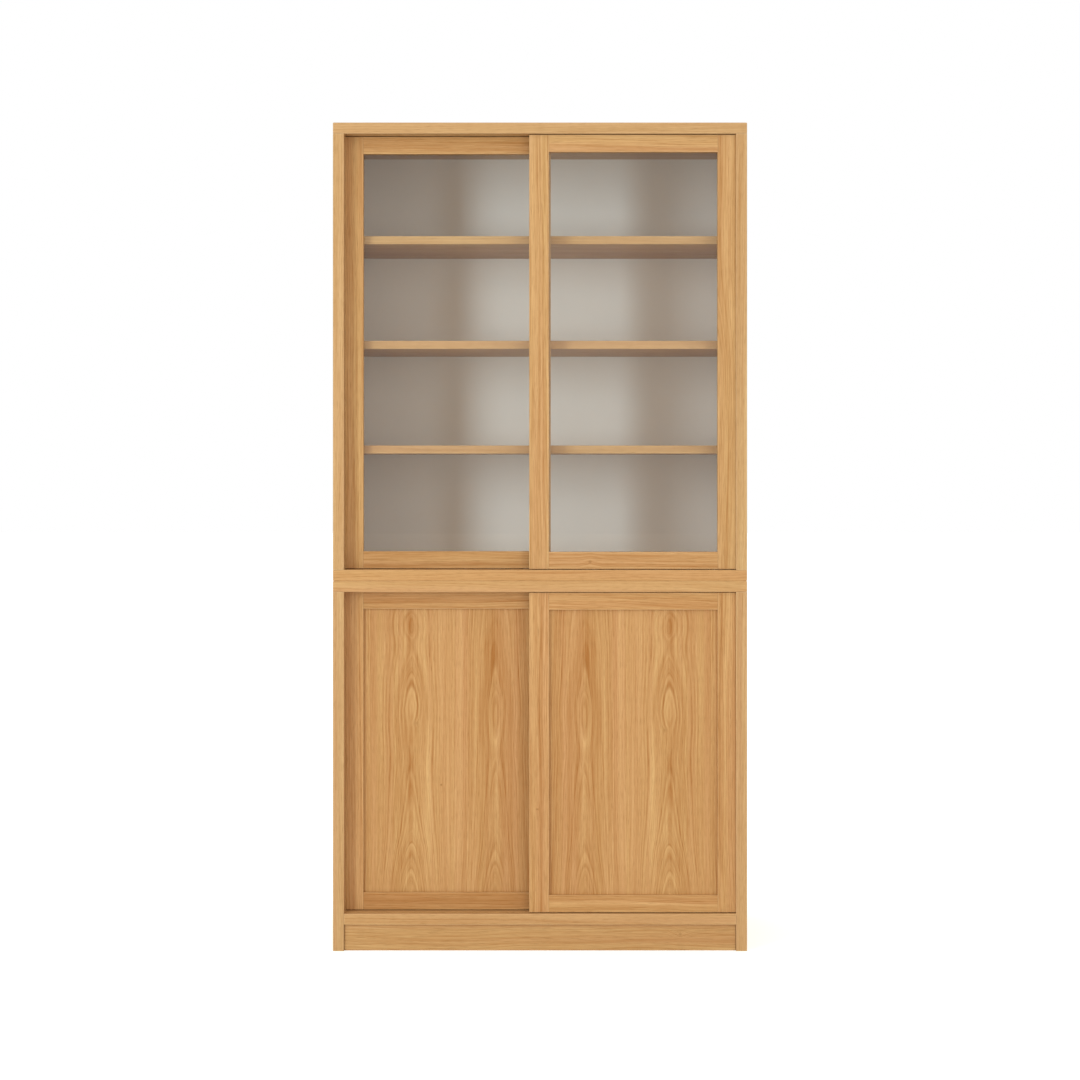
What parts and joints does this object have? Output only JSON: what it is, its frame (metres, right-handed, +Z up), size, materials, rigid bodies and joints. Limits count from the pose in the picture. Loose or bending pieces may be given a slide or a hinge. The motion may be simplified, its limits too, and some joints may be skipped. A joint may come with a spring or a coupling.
{
  "type": "bookcase with sliding doors",
  "caption": "Tall free-standing oak bookcase: an upper cabinet with sliding glass doors stands on a lower cabinet with sliding panelled doors, both with loose shelves.",
  "frame": {"origin": "on the floor, under the middle of the case", "axes": "+Z up, front faces -Y, +X to the right seen from the front"},
  "size_m": [0.9, 0.4, 1.8],
  "materials": {
    "oak": "natural oak, open pored, clear matt oil",
    "oak_veneer": "crown-cut oak veneer, clear matt oil",
    "back_board": "warm light grey laminate, matt",
    "clear_glass": "clear polished",
    "nylon": "moulded, slightly glossy",
    "nickel_pins": "nickel plated",
    "zinc_screws": "zinc plated",
    "connector_steel": "nickel plated",
    "beech": "fluted beech, raw"
  },
  "bodies": {
    "carcass": {"connector_screws": "connector_steel", "connector_sleeves": "connector_steel", "front_plinth": "oak", "lower_back_panel": "back_board", "lower_back_screws": "zinc_screws", "lower_bottom_panel": "oak", "lower_dowels": "beech", "lower_left_side": "oak", "lower_right_side": "oak", "lower_shelf_1": "oak", "lower_shelf_2": "oak", "lower_shelf_pins": "nickel_pins", "lower_top_panel": "oak", "rear_plinth": "oak", "upper_back_panel": "back_board", "upper_back_screws": "zinc_screws", "upper_bottom_panel": "oak", "upper_dowels": "beech", "upper_left_side": "oak", "upper_right_side": "oak", "upper_shelf_1": "oak", "upper_shelf_2": "oak", "upper_shelf_3": "oak", "upper_shelf_pins": "nickel_pins", "upper_top_panel": "oak"},
    "upper_left_door": {"upper_left_door_bottom_rail": "oak", "upper_left_door_glass": "clear_glass", "upper_left_door_glazing_beads": "oak", "upper_left_door_glides": "nylon", "upper_left_door_guide_pins": "nylon", "upper_left_door_left_stile": "oak", "upper_left_door_right_stile": "oak", "upper_left_door_top_rail": "oak"},
    "upper_right_door": {"upper_right_door_bottom_rail": "oak", "upper_right_door_glass": "clear_glass", "upper_right_door_glazing_beads": "oak", "upper_right_door_glides": "nylon", "upper_right_door_guide_pins": "nylon", "upper_right_door_left_stile": "oak", "upper_right_door_right_stile": "oak", "upper_right_door_top_rail": "oak"},
    "lower_left_door": {"lower_left_door_bottom_rail": "oak", "lower_left_door_glides": "nylon", "lower_left_door_guide_pins": "nylon", "lower_left_door_left_stile": "oak", "lower_left_door_panel": "oak_veneer", "lower_left_door_right_stile": "oak", "lower_left_door_top_rail": "oak"},
    "lower_right_door": {"lower_right_door_bottom_rail": "oak", "lower_right_door_glides": "nylon", "lower_right_door_guide_pins": "nylon", "lower_right_door_left_stile": "oak", "lower_right_door_panel": "oak_veneer", "lower_right_door_right_stile": "oak", "lower_right_door_top_rail": "oak"}
  },
  "joints": [
    {"name": "upper_left_door_slide", "type": "slide", "parent": "carcass", "child": "upper_left_door", "axis": [1, 0, 0], "range_m": [0, 0.402]},
    {"name": "upper_right_door_slide", "type": "slide", "parent": "carcass", "child": "upper_right_door", "axis": [1, 0, 0], "range_m": [-0.402, 0]},
    {"name": "lower_left_door_slide", "type": "slide", "parent": "carcass", "child": "lower_left_door", "axis": [1, 0, 0], "range_m": [0, 0.402]},
    {"name": "lower_right_door_slide", "type": "slide", "parent": "carcass", "child": "lower_right_door", "axis": [1, 0, 0], "range_m": [-0.402, 0]}
  ]
}
